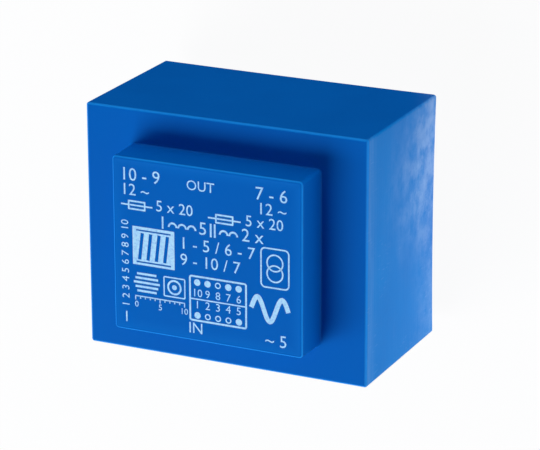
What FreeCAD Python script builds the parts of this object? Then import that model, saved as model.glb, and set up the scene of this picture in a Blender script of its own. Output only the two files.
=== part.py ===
"""Encapsulated 10 VA mains transformer for a printed circuit board, on an EI 48 core.

The row frame stands as the transformer does on its board: +Z up, the origin on
the seating plane at the middle of the pin pattern, +X along the housing and +Y
towards the secondary pins. All lengths are millimetres.

From the outside in: a moulded housing, open below, with a raised boss over the
coil; casting resin that fills it; a core of interleaved E and I plates; a bobbin
with two chambers side by side on the core's middle leg; the windings and their
tapes; and pins in the bobbin's rails, with the wires soldered to their roots.
"""

import FreeCAD
import Part

import math
import os

Vector = FreeCAD.Vector

# Core plates
leg_width = 8.0
window_length = 24.0
window_height = 8.0
plate_thickness = 0.5
plate_count = 33

# Bobbin
tube_clearance = 0.2
tube_wall = 0.9
tube_corner_radius = 1.0
end_clearance = 0.15
window_clearance = 0.2
flange_thickness = 1.0
partition_thickness = 1.2
flange_cover = 0.7
flange_corner_radius = 1.5
lip_reach = 2.0
lip_thickness = 1.0
rail_height = 5.2
rail_end_margin = 3.0
rail_back_wall = 1.85
rail_drop = 0.4
slot_width = 1.2
slot_roof = 0.1

# Windings and tapes
coil_recess = 1.0
tape_build = 0.3
layer_tape_build = 0.2
primary_wire_radius = 0.2
secondary_wire_radius = 0.25
wire_bite = 0.6
wire_sides = 6

# Pins
pin_pitch = 5.0
pins_per_rail = 5
row_spacing = 27.5
pin_radius = 0.5
root_size = 0.7
pin_length_below = 3.9
pin_tip_chamfer = 0.25
pin_seat_depth = 4.2
root_below_rail = 2.2
bead_radius = 0.95
bead_height = 1.7
bead_neck_radius = 0.6
bead_sides = 8

# Housing and resin
side_wall = 1.6
shoulder_wall = 1.8
boss_wall = 1.5
core_end_gap = 0.9
core_side_gap = 0.4
boss_side_gap = 0.5
boss_lip_gap = 0.25
boss_top_gap = 0.2
pad_height = 0.4
pad_size = 2.6
pad_inset = 3.5
rib_width = 1.2
rib_clearance = 0.1
rib_lead_in = 2.0
resin_recess = 0.8
body_edge_radius = 0.5
inner_corner_radius = 0.6
boss_corner_radius = 0.9
boss_edge_radius = 0.35
boss_root_radius = 0.3
boss_draft_deg = 1.0

# Places and sizes that follow from the ones above
core_length = 4 * leg_width + 2 * window_height
core_width = window_length + 2 * leg_width
middle_leg_width = 2 * leg_width
stack_height = plate_count * plate_thickness

bobbin_length = window_length - 2 * end_clearance
flange_width = middle_leg_width + 2 * (window_height - window_clearance)
tube_inner_width = middle_leg_width + 2 * tube_clearance
tube_inner_height = stack_height + 2 * tube_clearance
tube_width = tube_inner_width + 2 * tube_wall
tube_height = tube_inner_height + 2 * tube_wall
coil_space = flange_width / 2 - tube_width / 2
primary_build = coil_space - coil_recess - tape_build
secondary_build = (primary_build - layer_tape_build) / 2
flange_overhang = tube_clearance + tube_wall + primary_build + tape_build + flange_cover
chamber_length = (bobbin_length - 2 * flange_thickness - partition_thickness) / 2

rail_bottom = resin_recess + root_below_rail
flange_bottom = rail_bottom + rail_drop
core_bottom = flange_bottom + flange_overhang
core_top = core_bottom + stack_height
flange_top = core_top + flange_overhang
coil_z = (core_bottom + core_top) / 2
rail_top = rail_bottom + rail_height
slot_top = core_bottom - tube_clearance - tube_wall - slot_roof
wire_z = rail_bottom - bead_height / 2

inner_length = core_length + 2 * core_end_gap
inner_width = core_width + 2 * core_side_gap
body_length = inner_length + 2 * side_wall
body_width = inner_width + 2 * side_wall
cavity_top = core_top + pad_height
body_height = cavity_top + shoulder_wall
boss_inner_length = flange_width + 2 * boss_side_gap
boss_inner_width = bobbin_length + 2 * (lip_reach + boss_lip_gap)
boss_inner_top = flange_top + boss_top_gap
boss_length = boss_inner_length + 2 * boss_wall
boss_width = boss_inner_width + 2 * boss_wall
total_height = boss_inner_top + boss_wall

pin_x = [(i - (pins_per_rail - 1) / 2) * pin_pitch for i in range(pins_per_rail)]
primary_y = -row_spacing / 2
secondary_y = row_spacing / 2

# How near an edge has to lie to an outline to be taken for part of it
match_tolerance = 1e-4

# Only the pins in use are fitted.
fitted_pins = ("pin_1", "pin_5", "pin_6", "pin_7", "pin_9", "pin_10")


def box(x0, x1, y0, y1, z0, z1):
    """A box between two corners."""
    return Part.makeBox(x1 - x0, y1 - y0, z1 - z0, Vector(x0, y0, z0))


def rounded_wire(length, width, radius, z):
    """A rectangle in the XY plane about the Z axis, with round corners."""
    a, b = length / 2 - radius, width / 2 - radius
    edges = []
    corners = [(a, b, 0), (-a, b, 90), (-a, -b, 180), (a, -b, 270)]
    ends = []
    for x, y, start in corners:
        points = []
        for turn in (0, 45, 90):
            angle = math.radians(start + turn)
            points.append(Vector(x + radius * math.cos(angle), y + radius * math.sin(angle), z))
        edges.append(Part.Arc(*points).toShape())
        ends.append((points[0], points[2]))
    for i, (_, leaving) in enumerate(ends):
        arriving = ends[(i + 1) % 4][0]
        edges.append(Part.makeLine(leaving, arriving))
    return Part.Wire(Part.__sortEdges__(edges))


def rounded_prism(length, width, radius, z0, z1):
    """An upright prism about the Z axis, with round vertical edges."""
    face = Part.Face(rounded_wire(length, width, radius, z0))
    return face.extrude(Vector(0, 0, z1 - z0))


def coil_block(width, height, radius, y0, y1):
    """A block about the coil's axis, which runs along Y at coil_z, with its long edges round."""
    block = rounded_prism(width, height, radius, 0, y1 - y0)
    block.rotate(Vector(0, 0, 0), Vector(1, 0, 0), -90)
    block.translate(Vector(0, y0, coil_z))
    return block


def coil_ring(inner_build, outer_build, y0, y1):
    """What is wound on the tube between two builds, both measured from the tube's wall."""
    def layer(build):
        size = (tube_width + 2 * build, tube_height + 2 * build, tube_corner_radius + build)
        return coil_block(*size, y0, y1)
    return layer(outer_build).cut(layer(inner_build))


def upright_edges(shape):
    """The edges that join a block's foot to its head."""
    height = shape.BoundBox.ZLength
    return [edge for edge in shape.Edges if edge.BoundBox.ZLength > height / 2]


def tapered_block(length, width, radius, z0, z1, draft_deg):
    """A block about the Z axis with the given outline at its head, z1, that widens downwards by a draft.

    Its sides stay flat and its corners are cones.
    """
    spread = (z1 - z0) * math.tan(math.radians(draft_deg))
    a, b = length / 2 - radius, width / 2 - radius

    def slab(half_head, half_across, along_x):
        """A slab whose two ends slope, between two upright sides."""
        profile = [(-half_head - spread, z0), (half_head + spread, z0), (half_head, z1), (-half_head, z1)]
        if along_x:
            points = [Vector(u, -half_across, z) for u, z in profile]
            across = Vector(0, 2 * half_across, 0)
        else:
            points = [Vector(-half_across, u, z) for u, z in profile]
            across = Vector(2 * half_across, 0, 0)
        return Part.Face(Part.makePolygon(points + points[:1])).extrude(across)

    corners = []
    for x in (-a, a):
        for y in (-b, b):
            corners.append(Part.makeCone(radius + spread, radius, z1 - z0, Vector(x, y, z0)))
    return slab(length / 2, b, True).fuse([slab(width / 2, a, False)] + corners).removeSplitter()


def edges_at(shape, z, length, width):
    """The edges of a level outline, which lie in one plane and within a corner's reach of a rectangle."""
    found = []
    for edge in shape.Edges:
        points = [edge.valueAt(edge.FirstParameter), edge.valueAt(edge.LastParameter)]
        near = True
        for p in points:
            off = min(length / 2 - abs(p.x), width / 2 - abs(p.y))
            near = near and abs(p.z - z) < match_tolerance and abs(off) < match_tolerance
        if near:
            found.append(edge)
    return found


def core_outline(z0, z1):
    """The whole core as one block with its two windows, for cutting round the plates."""
    half_length, half_width = core_length / 2, core_width / 2
    core = box(-half_length, half_length, -half_width, half_width, z0, z1)
    for side in (-1, 1):
        near = side * middle_leg_width / 2
        far = near + side * window_height
        window = box(min(near, far), max(near, far), -window_length / 2, window_length / 2, z0, z1)
        core = core.cut(window)
    return core


def e_plate(z, direction):
    """One E plate, its legs pointing along Y in the given direction."""
    half_length = core_length / 2
    back = -core_width / 2
    leg_end = core_width / 2 - leg_width
    yoke_face = back + leg_width
    middle = middle_leg_width / 2
    outer = half_length - leg_width
    corners = [
        (-half_length, back), (half_length, back), (half_length, leg_end), (outer, leg_end),
        (outer, yoke_face), (middle, yoke_face), (middle, leg_end), (-middle, leg_end),
        (-middle, yoke_face), (-outer, yoke_face), (-outer, leg_end), (-half_length, leg_end),
    ]
    points = [Vector(x, y * direction, z) for x, y in corners]
    outline = Part.makePolygon(points + points[:1])
    return Part.Face(outline).extrude(Vector(0, 0, plate_thickness))


def i_plate(z, direction):
    """The I plate that closes the open legs of an E plate."""
    near = direction * (core_width / 2 - leg_width)
    far = direction * core_width / 2
    half = core_length / 2
    return box(-half, half, min(near, far), max(near, far), z, z + plate_thickness)


def make_core():
    """The interleaved stack: each E plate by itself, and the loose I plates of each end as one group."""
    parts = {}
    i_plates = {"i_plates_primary_end": [], "i_plates_secondary_end": []}
    for i in range(plate_count):
        z = core_bottom + i * plate_thickness
        direction = 1 if i % 2 == 0 else -1
        parts[f"e_plate_{i + 1:02d}"] = e_plate(z, direction)
        closed_end = "i_plates_secondary_end" if direction == 1 else "i_plates_primary_end"
        i_plates[closed_end].append(i_plate(z, direction))
    for name, plates in i_plates.items():
        parts[name] = Part.makeCompound(plates)
    return parts


def make_flange(y0, y1):
    """One flange plate of the bobbin, across the coil's axis."""
    height = flange_top - flange_bottom
    return coil_block(flange_width, height, flange_corner_radius, y0, y1)


def make_rail(side):
    """The comb under one end flange that holds a row of pins. Side is -1 or 1 along Y."""
    reach = pin_x[-1] + rail_end_margin
    inner = side * (bobbin_length / 2 - flange_thickness)
    outer = side * (row_spacing / 2 + rail_back_wall)
    return box(-reach, reach, min(inner, outer), max(inner, outer), rail_bottom, rail_top)


def make_lip(side):
    """The ledge that an end flange turns over the yoke's top, between coil and core."""
    z = core_top + tube_clearance
    inner = side * (bobbin_length / 2 - flange_thickness)
    outer = side * (bobbin_length / 2 + lip_reach)
    half = flange_width / 2
    return box(-half, half, min(inner, outer), max(inner, outer), z, z + lip_thickness)


def wire_slots(side):
    """The slots between the pins, through flange and rail, that the wires come down."""
    inner = side * (bobbin_length / 2 - 2 * flange_thickness)
    outer = side * (row_spacing / 2 + 2 * rail_back_wall)
    slots = []
    for left, right in zip(pin_x, pin_x[1:]):
        x = (left + right) / 2
        low, high = x - slot_width / 2, x + slot_width / 2
        slots.append(box(low, high, min(inner, outer), max(inner, outer), 0, slot_top))
    return slots


def square_root(x, y, z0, z1):
    """The square length of a pin, which keeps it from turning, or the hole that it sits in."""
    half = root_size / 2
    return box(x - half, x + half, y - half, y + half, z0, z1)


def pin_seats(side):
    """The holes for the pins, one for each place in the rail."""
    y = side * row_spacing / 2
    return [square_root(x, y, rail_bottom, rail_bottom + pin_seat_depth) for x in pin_x]


def make_bobbin():
    """The two-chamber bobbin: tube, three flanges, ledges, pin rails, slots and pin seats."""
    half = bobbin_length / 2
    bobbin = coil_block(tube_width, tube_height, tube_corner_radius, -half, half)
    bobbin = bobbin.fuse([
        make_flange(-half, -half + flange_thickness),
        make_flange(half - flange_thickness, half),
        make_flange(-partition_thickness / 2, partition_thickness / 2),
        make_lip(-1), make_lip(1), make_rail(-1), make_rail(1),
    ]).removeSplitter()
    opening = box(
        -tube_inner_width / 2, tube_inner_width / 2, -core_width / 2, core_width / 2,
        coil_z - tube_inner_height / 2, coil_z + tube_inner_height / 2,
    )
    cuts = [opening]
    for side in (-1, 1):
        cuts += wire_slots(side) + pin_seats(side)
    return bobbin.cut(cuts).removeSplitter()


def pin_place(name):
    """Where a pin stands. The primary rail is numbered from the left, then the secondary one from the right."""
    number = int(name.removeprefix("pin_"))
    if number <= pins_per_rail:
        return pin_x[number - 1], primary_y
    return pin_x[2 * pins_per_rail - number], secondary_y


def make_pin(x, y):
    """A pin: the round length that goes through the board, and the square root above it in the bobbin."""
    tip = -pin_length_below
    shank_start = tip + pin_tip_chamfer
    point = Part.makeCone(pin_radius - pin_tip_chamfer, pin_radius, pin_tip_chamfer, Vector(x, y, tip))
    shank = Part.makeCylinder(pin_radius, resin_recess - shank_start, Vector(x, y, shank_start))
    root = square_root(x, y, resin_recess, rail_bottom + pin_seat_depth)
    return point.fuse([shank, root])


def ring_of_points(centre, radius, first, second, sides):
    """The corners of a regular outline about a centre, in the plane of two unit vectors."""
    corners = []
    for i in range(sides):
        angle = 2 * math.pi * (i + 0.5) / sides
        corners.append(centre + first * (radius * math.cos(angle)) + second * (radius * math.sin(angle)))
    return corners


def make_bead(x, y):
    """The drop of solder over a wire's turns at the root of a pin, widest against the rail."""
    along_x, along_y = Vector(1, 0, 0), Vector(0, 1, 0)
    low, high = Vector(x, y, rail_bottom - bead_height), Vector(x, y, rail_bottom)
    foot = ring_of_points(low, bead_neck_radius, along_x, along_y, bead_sides)
    head = ring_of_points(high, bead_radius, along_x, along_y, bead_sides)
    faces = [Part.Face(Part.makePolygon(ring + ring[:1])) for ring in (foot, head)]
    for i in range(bead_sides):
        j = (i + 1) % bead_sides
        flank = [foot[i], foot[j], head[j], head[i], foot[i]]
        faces.append(Part.Face(Part.makePolygon(flank)))
    return Part.makeSolid(Part.makeShell(faces))


def bent_wire(points, radius):
    """A thin wire along straight runs, bent sharply over at each corner, with few sides to keep it light."""
    ring = ring_of_points(points[0], radius, Vector(1, 0, 0), Vector(0, 0, 1), wire_sides)
    section = Part.makePolygon(ring + ring[:1])
    right_corner = 1
    return Part.makePolygon(points).makePipeShell([section], True, False, right_corner)


def make_lead(pin, slot_between, build, wire_radius):
    """One end of a winding: out of the coil at a build, through a slot and round to its pin's root."""
    pin_at, y = pin_place(pin)
    side = 1 if y > 0 else -1
    slot_x = (pin_x[slot_between] + pin_x[slot_between + 1]) / 2
    z = coil_z - tube_height / 2 - build
    start_y = side * (bobbin_length / 2 - flange_thickness - wire_bite)
    points = [
        Vector(slot_x, start_y, z), Vector(slot_x, y, z),
        Vector(slot_x, y, wire_z), Vector(pin_at, y, wire_z),
    ]
    return bent_wire(points, wire_radius)


def make_coil():
    """The windings, each one solid with its two ends, and the tapes between and over them."""
    inner_end, outer_end = partition_thickness / 2, partition_thickness / 2 + chamber_length
    primary = coil_ring(0, primary_build, -outer_end, -inner_end)
    primary_tape = coil_ring(primary_build, primary_build + tape_build, -outer_end, -inner_end)
    second_start = secondary_build + layer_tape_build
    second_end = second_start + secondary_build
    first = coil_ring(0, secondary_build, inner_end, outer_end)
    layer_tape = coil_ring(secondary_build, second_start, inner_end, outer_end)
    second = coil_ring(second_start, second_end, inner_end, outer_end)
    outer_tape = coil_ring(second_end, second_end + tape_build, inner_end, outer_end)

    thin, thick = primary_wire_radius, secondary_wire_radius
    primary_leads = [
        make_lead("pin_1", 0, 2 * thin, thin),
        make_lead("pin_5", 3, primary_build - 2 * thin, thin),
    ]
    first_leads = [
        make_lead("pin_10", 0, 2 * thick, thick),
        make_lead("pin_9", 1, secondary_build - 2 * thick, thick),
    ]
    second_leads = [
        make_lead("pin_7", 2, second_start + 2 * thick, thick),
        make_lead("pin_6", 3, second_end - 2 * thick, thick),
    ]
    return {
        "primary_winding": primary.fuse(primary_leads),
        "primary_tape": primary_tape,
        "secondary_winding_inner": first.fuse(first_leads),
        "secondary_layer_tape": layer_tape,
        "secondary_winding_outer": second.fuse(second_leads),
        "secondary_tape": outer_tape,
    }


def make_cavity():
    """The space inside the housing, as a solid: the body's hollow and the boss's."""
    body = rounded_prism(inner_length, inner_width, inner_corner_radius, 0, cavity_top)
    boss = rounded_prism(
        boss_inner_length, boss_inner_width, inner_corner_radius, 0, boss_inner_top
    )
    return body.fuse(boss).removeSplitter()


def core_supports():
    """What is moulded inside the housing to place the core: corner pads on the shoulder and wall ribs."""
    supports = []
    pad_x, pad_y = core_length / 2 - pad_inset, core_width / 2 - pad_inset
    for x in (-pad_x, pad_x):
        for y in (-pad_y, pad_y):
            half = pad_size / 2
            supports.append(box(x - half, x + half, y - half, y + half, core_top, cavity_top))
    foot = core_bottom - rib_lead_in
    for side in (-1, 1):
        for place in (-core_width / 4, core_width / 4):
            supports.append(wall_rib(side, place, inner_length / 2, core_end_gap, foot, True))
        for place in (-core_length / 4, core_length / 4):
            supports.append(wall_rib(side, place, inner_width / 2, core_side_gap, foot, False))
    return supports


def wall_rib(side, place, wall, gap, foot, on_end_wall):
    """One upright rib on a side wall, with a tapered foot that leads the core in."""
    height = gap - rib_clearance
    profile = [(wall, foot), (wall - height, core_bottom), (wall - height, cavity_top), (wall, cavity_top)]
    low, thickness = place - rib_width / 2, rib_width
    if on_end_wall:
        points = [Vector(side * across, low, z) for across, z in profile]
        direction = Vector(0, thickness, 0)
    else:
        points = [Vector(low, side * across, z) for across, z in profile]
        direction = Vector(thickness, 0, 0)
    return Part.Face(Part.makePolygon(points + points[:1])).extrude(direction)


def make_housing(cavity):
    """The moulded housing: a body open below, with the raised boss over the coil."""
    body = box(-body_length / 2, body_length / 2, -body_width / 2, body_width / 2, 0, body_height)
    outer_edges = upright_edges(body) + edges_at(body, body_height, body_length, body_width)
    body = body.makeFillet(body_edge_radius, outer_edges)
    boss = tapered_block(
        boss_length, boss_width, boss_corner_radius, body_height, total_height, boss_draft_deg
    )
    boss = boss.makeFillet(boss_edge_radius, edges_at(boss, total_height, boss_length, boss_width))
    shell = body.fuse(boss).removeSplitter()
    spread = 2 * (total_height - body_height) * math.tan(math.radians(boss_draft_deg))
    root = edges_at(shell, body_height, boss_length + spread, boss_width + spread)
    shell = shell.makeFillet(boss_root_radius, root)
    return shell.cut(cavity).fuse(core_supports()).removeSplitter()


def make_resin(cavity, inner_pieces):
    """The casting resin: what is left of the cavity, up to a level just inside the housing's rim."""
    rim = box(-body_length, body_length, -body_width, body_width, -1, resin_recess)
    return cavity.cut([rim] + core_supports() + inner_pieces)


def make_parts():
    """Every piece by its node's name."""
    parts = make_core()
    parts["bobbin"] = make_bobbin()
    parts.update(make_coil())
    pins = {name: make_pin(*pin_place(name)) for name in fitted_pins}
    wires = [name for name in parts if "winding" in name]
    for name in wires:
        parts[name] = parts[name].cut(list(pins.values())).removeSplitter()
    windings = [parts[name] for name in wires]
    for name in fitted_pins:
        bead = make_bead(*pin_place(name))
        parts["solder_" + name] = bead.cut([pins[name]] + windings)
    parts.update(pins)

    cavity = make_cavity()
    inner = [core_outline(core_bottom, core_top)]
    inner += [shape for name, shape in parts.items() if "_plate" not in name]
    parts["resin"] = make_resin(cavity, inner)
    parts["housing"] = make_housing(cavity)
    return parts


def main():
    """Writes one STEP file for each piece and prints its volume."""
    os.makedirs("parts", exist_ok=True)
    for name, shape in sorted(make_parts().items()):
        shape.exportStep(os.path.join("parts", name + ".step"))
        state = "valid" if shape.isValid() else "NOT VALID"
        print(f"{name}: {len(shape.Solids)} solids, {shape.Volume:.2f} mm3, {state}")
    print(f"housing {body_length} x {body_width} x {body_height}, boss {boss_length} x {boss_width}")
    print(f"height over the boss {total_height}")


main()
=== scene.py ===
"""The looks of an encapsulated transformer for a circuit board.

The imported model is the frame. Around it this script builds the moulded housing with the
slight warp of its walls, the print on the boss, the skin of the cast resin with its menisci,
and the finish of every piece, and sets up a plain studio. Sizes here are in millimetres and
are turned into metres where meshes are made.
"""

from __future__ import annotations

import logging
import math
from dataclasses import dataclass, field, replace
from enum import Enum
from typing import Any, Sequence, Union

import bmesh
import bpy
from mathutils import Matrix, Vector


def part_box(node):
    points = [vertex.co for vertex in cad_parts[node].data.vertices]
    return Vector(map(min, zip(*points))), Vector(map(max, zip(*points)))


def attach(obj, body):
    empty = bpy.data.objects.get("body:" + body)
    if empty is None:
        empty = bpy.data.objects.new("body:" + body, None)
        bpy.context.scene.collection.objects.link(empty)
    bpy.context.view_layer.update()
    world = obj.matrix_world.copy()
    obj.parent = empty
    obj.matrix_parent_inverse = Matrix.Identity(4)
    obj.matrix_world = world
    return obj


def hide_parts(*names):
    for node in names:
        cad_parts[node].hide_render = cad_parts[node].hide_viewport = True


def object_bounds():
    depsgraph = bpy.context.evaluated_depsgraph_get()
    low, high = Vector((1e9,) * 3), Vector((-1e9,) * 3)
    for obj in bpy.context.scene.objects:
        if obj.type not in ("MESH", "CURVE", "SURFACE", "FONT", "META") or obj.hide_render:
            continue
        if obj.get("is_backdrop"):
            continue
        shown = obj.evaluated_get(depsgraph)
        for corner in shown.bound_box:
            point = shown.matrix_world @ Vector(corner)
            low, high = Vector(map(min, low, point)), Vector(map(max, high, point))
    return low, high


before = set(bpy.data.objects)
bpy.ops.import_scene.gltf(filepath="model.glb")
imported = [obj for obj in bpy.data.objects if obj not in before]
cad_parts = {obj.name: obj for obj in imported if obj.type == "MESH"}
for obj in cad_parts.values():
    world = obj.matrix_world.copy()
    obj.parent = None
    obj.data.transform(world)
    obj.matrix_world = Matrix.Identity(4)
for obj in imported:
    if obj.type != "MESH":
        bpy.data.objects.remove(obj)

log = logging.getLogger("transformer")

MM = 0.001
# The point attribute that carries where a painted highlight lies in a rounded edge.
EDGE_HIGHLIGHT = "edge"
ARC_STEP_DEG = 12.0
Point = tuple[float, float]
Point3 = tuple[float, float, float]
Colour = tuple[float, float, float]
Spans = tuple[int, int, int]
Operand = Union["Signal", float, int]
Socket = bpy.types.NodeSocket
Mesh = bmesh.types.BMesh
Piece = bpy.types.Object
ROUND_SPANS: Spans = (1, 1, 8)


class Align(Enum):
    """Which spot of a line of print its place stands for."""

    LEFT = "LEFT"
    MIDDLE = "CENTER"
    RIGHT = "RIGHT"


def rgba(value: Any) -> Any:
    """A plain colour with its alpha, or a socket as it is."""
    return (*value, 1.0) if isinstance(value, tuple) else value


@dataclass(frozen=True)
class Signal:
    """A number that varies over a surface, as one output socket with arithmetic."""

    shader: "Shader"
    socket: Socket

    def __add__(self, other: Operand) -> "Signal":
        """Sum."""
        return self.shader.math("ADD", self, other)

    __radd__ = __add__

    def __sub__(self, other: Operand) -> "Signal":
        """Difference."""
        return self.shader.math("SUBTRACT", self, other)

    def __rsub__(self, other: Operand) -> "Signal":
        """Difference from a number."""
        return self.shader.math("SUBTRACT", other, self)

    def __mul__(self, other: Operand) -> "Signal":
        """Product."""
        return self.shader.math("MULTIPLY", self, other)

    __rmul__ = __mul__

    def __pow__(self, other: Operand) -> "Signal":
        """Power."""
        return self.shader.math("POWER", self, other)

    def __abs__(self) -> "Signal":
        """Size without sign."""
        return self.shader.math("ABSOLUTE", self, 0.0)

    def step(self, low: float, high: float) -> "Signal":
        """Rise smoothly from 0 at one value to 1 at another.

        Args:
            low: The value at which the result is 0.
            high: The value at which the result is 1. It may be below low.

        Returns:
            The stepped signal, held between 0 and 1.
        """
        settings = {"interpolation_type": "SMOOTHSTEP", "clamp": True}
        sockets = {"Value": self, "From Min": low, "From Max": high}
        made = self.shader.node("ShaderNodeMapRange", settings, sockets)
        return Signal(self.shader, made.outputs["Result"])


class Shader:
    """The node tree of one material or world, with one method that adds any node."""

    def __init__(self, owner: Union[bpy.types.Material, bpy.types.World]) -> None:
        """Clear the owner's tree and keep it.

        Args:
            owner: The material or world whose nodes are built here.
        """
        owner.use_nodes = True
        self.tree = owner.node_tree
        self.tree.nodes.clear()

    def node(self, kind: str, settings: dict[str, Any], inputs: dict[Any, Any]) -> bpy.types.Node:
        """Add a node.

        Args:
            kind: The node's type, as Blender names it.
            settings: Properties of the node, set before its sockets.
            inputs: Values or links of the sockets, by name or place.

        Returns:
            The new node.
        """
        made = self.tree.nodes.new(kind)
        for name, value in settings.items():
            setattr(made, name, value)
        for key, value in inputs.items():
            if isinstance(value, Signal):
                self.tree.links.new(value.socket, made.inputs[key])
            elif isinstance(value, Socket):
                self.tree.links.new(value, made.inputs[key])
            else:
                made.inputs[key].default_value = value
        return made

    def math(self, operation: str, first: Operand, second: Operand) -> Signal:
        """Join two operands with a Math node.

        Args:
            operation: The Math node's operation.
            first: The first operand.
            second: The second operand.

        Returns:
            The result.
        """
        made = self.node("ShaderNodeMath", {"operation": operation}, {0: first, 1: second})
        return Signal(self, made.outputs[0])

    def place(self) -> Socket:
        """The surface's place in the row frame, in millimetres."""
        where = self.node("ShaderNodeTexCoord", {}, {}).outputs["Object"]
        sockets = {"Vector": where, "Scale": 1.0 / MM}
        return self.node("ShaderNodeVectorMath", {"operation": "SCALE"}, sockets).outputs["Vector"]

    def carried(self, name: str) -> Signal:
        """A value that the mesh carries at its points, 0 where it has none."""
        made = self.node("ShaderNodeAttribute", {"attribute_name": name}, {})
        return Signal(self, made.outputs["Fac"])

    def axis(self, vector: Socket, name: str) -> Signal:
        """One component of a vector, X, Y or Z."""
        made = self.node("ShaderNodeSeparateXYZ", {}, {"Vector": vector})
        return Signal(self, made.outputs[name])

    def distance(self, place: Socket, spot: Point3) -> Signal:
        """How far a place is from a spot."""
        made = self.node("ShaderNodeVectorMath", {"operation": "DISTANCE"}, {0: place, 1: spot})
        return Signal(self, made.outputs["Value"])

    def noise(self, place: Socket, scale: Union[float, Point3], detail: float, rough: float) -> Signal:
        """Cloudy noise between 0 and 1.

        Args:
            place: Where the noise is read.
            scale: How many clouds there are to a unit of place, or how many along each axis.
            detail: How many finer layers it has.
            rough: How strong the finer layers are.

        Returns:
            The noise.
        """
        if isinstance(scale, tuple):
            stretch = self.node("ShaderNodeVectorMath", {"operation": "MULTIPLY"}, {0: place, 1: scale})
            place, scale = stretch.outputs["Vector"], 1.0
        sockets = {"Vector": place, "Scale": scale, "Detail": detail, "Roughness": rough}
        made = self.node("ShaderNodeTexNoise", {"noise_dimensions": "3D"}, sockets)
        return Signal(self, made.outputs["Fac"])

    def cells(self, place: Socket, scale: float, randomness: float) -> Signal:
        """The distance to the nearest of a set of scattered points.

        Args:
            place: Where the distance is read.
            scale: How many points there are to a unit of place.
            randomness: 0 sets the points on a grid and 1 scatters them.

        Returns:
            The distance, in units of the scaled place.
        """
        settings = {"feature": "F1", "voronoi_dimensions": "3D"}
        sockets = {"Vector": place, "Scale": scale, "Randomness": randomness}
        return Signal(self, self.node("ShaderNodeTexVoronoi", settings, sockets).outputs["Distance"])

    def blend(self, mask: Operand, first: Any, second: Any) -> Socket:
        """Mix two colours.

        Args:
            mask: 0 gives the first colour and 1 the second.
            first: A colour or a colour socket.
            second: A colour or a colour socket.

        Returns:
            The mixed colour.
        """
        sockets = {"Factor": mask, "A": rgba(first), "B": rgba(second)}
        made = self.node("ShaderNodeMix", {"data_type": "RGBA", "blend_type": "MIX"}, sockets)
        return next(socket for socket in made.outputs if socket.type == "RGBA")

    def glow(self, colour: Any) -> Socket:
        """An even glow of a colour or a colour socket."""
        return self.node("ShaderNodeEmission", {}, {"Color": rgba(colour)}).outputs[0]

    def mixed(self, mask: Any, first: Socket, second: Socket) -> Any:
        """Mix two surfaces: 0 gives the first and 1 the second."""
        return self.node("ShaderNodeMixShader", {}, {0: mask, 1: first, 2: second}).outputs[0]

    def relief(self, height: Signal, depth_mm: float) -> Socket:
        """A normal that is bent by a height map.

        Args:
            height: The height, between 0 and 1.
            depth_mm: The height in millimetres that a value of 1 stands for.

        Returns:
            The bent normal.
        """
        sockets = {"Height": height, "Distance": depth_mm * MM, "Strength": 1.0}
        return self.node("ShaderNodeBump", {}, sockets).outputs["Normal"]

    def surface(self, inputs: dict[str, Any]) -> None:
        """Finish the tree with one principled surface.

        Args:
            inputs: The surface's values and links, by socket name.
        """
        shaded = self.node("ShaderNodeBsdfPrincipled", {}, inputs)
        self.node("ShaderNodeOutputMaterial", {}, {"Surface": shaded.outputs["BSDF"]})


@dataclass(frozen=True)
class Finish:
    """What every finish has: a name, a colour and a way to dress pieces with its material."""

    name: str
    colour: Colour

    def look(self, shader: Shader, place: Socket) -> dict[str, Any]:
        """What the surface looks like. Each finish has its own.

        Args:
            shader: The tree that is being built.
            place: The surface's place, in millimetres.

        Returns:
            The surface's values and links, by socket name.
        """
        raise NotImplementedError

    def material(self) -> bpy.types.Material:
        """The finish's material, made once and then shared."""
        found = bpy.data.materials.get(self.name)
        if found is None:
            found = bpy.data.materials.new(self.name)
            shader = Shader(found)
            shader.surface(self.look(shader, shader.place()))
        return found

    def dress(self, piece: Piece) -> None:
        """Give a piece this finish in place of what it had."""
        piece.data.materials.clear()
        piece.data.materials.append(self.material())


@dataclass(frozen=True)
class MouldedPlastic(Finish):
    """Satin thermoplastic with the marks of its mould: fine grain, flow clouds and light scuffs."""

    pale: Colour
    roughness: float
    specular: float
    grain_depth_mm: float = 0.004
    flow_depth_mm: float = 0.06

    def _skin(self, shader: Shader, place: Socket, cloud: Signal) -> dict[str, Any]:
        """The colour, clouded a little by the flow of the melt.

        Args:
            shader: The tree that is being built.
            place: The surface's place, in millimetres.
            cloud: Broad cloudy noise.

        Returns:
            The colour, and what else the skin needs, by socket name.
        """
        return {"Base Color": shader.blend((cloud - 0.5) * 0.5 + 0.12, self.colour, self.pale)}

    def look(self, shader: Shader, place: Socket) -> dict[str, Any]:
        """Grain and flow bend the gloss, and clouds and scuffs change it a little."""
        grain = shader.noise(place, 9.0, 3.0, 0.6)
        flow = shader.noise(place, (0.13, 0.045, 0.16), 2.5, 0.5)
        cloud = shader.noise(place, (0.09, 0.06, 0.11), 4.0, 0.55)
        scuff = shader.noise(place, (1.1, 0.264, 1.98), 5.0, 0.7).step(0.56, 0.74)
        fleck = shader.noise(place, 2.6, 2.0, 0.5).step(0.66, 0.74)

        found = self._skin(shader, place, cloud)
        found["Base Color"] = shader.blend(scuff * 0.05, found["Base Color"], self.pale)
        gloss = self.roughness + (cloud - 0.5) * 0.16 + scuff * 0.06 + fleck * 0.05 + (grain - 0.5) * 0.06
        height = flow * self.flow_depth_mm + grain * self.grain_depth_mm
        found["Roughness"] = gloss
        found["Normal"] = shader.relief(height, 1.0)
        found["Specular IOR Level"] = self.specular
        return found


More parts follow.
